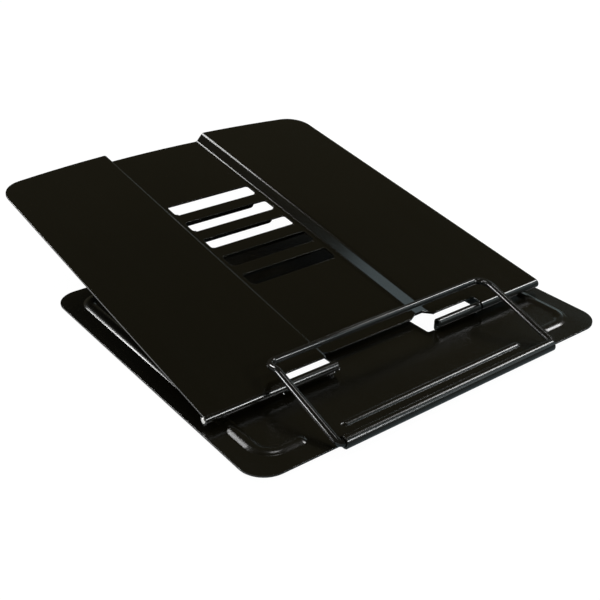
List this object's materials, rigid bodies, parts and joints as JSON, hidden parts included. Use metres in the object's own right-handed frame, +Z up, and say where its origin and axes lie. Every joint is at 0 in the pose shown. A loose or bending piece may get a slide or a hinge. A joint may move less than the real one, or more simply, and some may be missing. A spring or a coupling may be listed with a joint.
{
  "type": "book stand",
  "caption": "Folding book stand of black sheet steel: a slotted back plate tilts on rolled hinges above a beaded base, with a wire prop underneath and a swinging wire page holder in front.",
  "frame": {"origin": "on the desk, in the middle of the stand's whole footprint, between the front of the curl and the rear of the back plate", "axes": "+Z up, +Y to the rear, away from the reader, +X to the reader's right"},
  "size_m": [0.2, 0.2528, 0.0418],
  "materials": {
    "powder_coat": "satin black powder coat on steel sheet",
    "wire_black": "glossy black lacquer on steel wire",
    "pin_steel": "drawn steel",
    "foot_rubber": "matt black rubber"
  },
  "bodies": {
    "base": {"base_plate": "powder_coat", "foot_front_left": "foot_rubber", "foot_front_right": "foot_rubber", "foot_rear_left": "foot_rubber", "foot_rear_right": "foot_rubber"},
    "plate": {"back_plate": "powder_coat", "hinge_pin_left": "pin_steel", "hinge_pin_right": "pin_steel"},
    "prop": {"prop_wire": "wire_black"},
    "holder": {"page_holder": "wire_black"}
  },
  "joints": [
    {"name": "plate_tilt", "type": "hinge", "parent": "base", "child": "plate", "pos_m": [0, -0.08144, 0.0069], "axis": [1, 0, 0], "range_deg": [0, 27.5]},
    {"name": "prop_swing", "type": "hinge", "parent": "base", "child": "prop", "pos_m": [0, -0.02364, 0.0046], "axis": [1, 0, 0], "range_deg": [0, 40]},
    {"name": "page_holder_swing", "type": "hinge", "parent": "base", "child": "holder", "pos_m": [0, -0.12364, 0.0048], "axis": [1, 0, 0], "range_deg": [0, 165]}
  ],
  "couplings": [
    {"joint": "prop_swing", "follows": "plate_tilt", "ratio": 1.43}
  ]
}
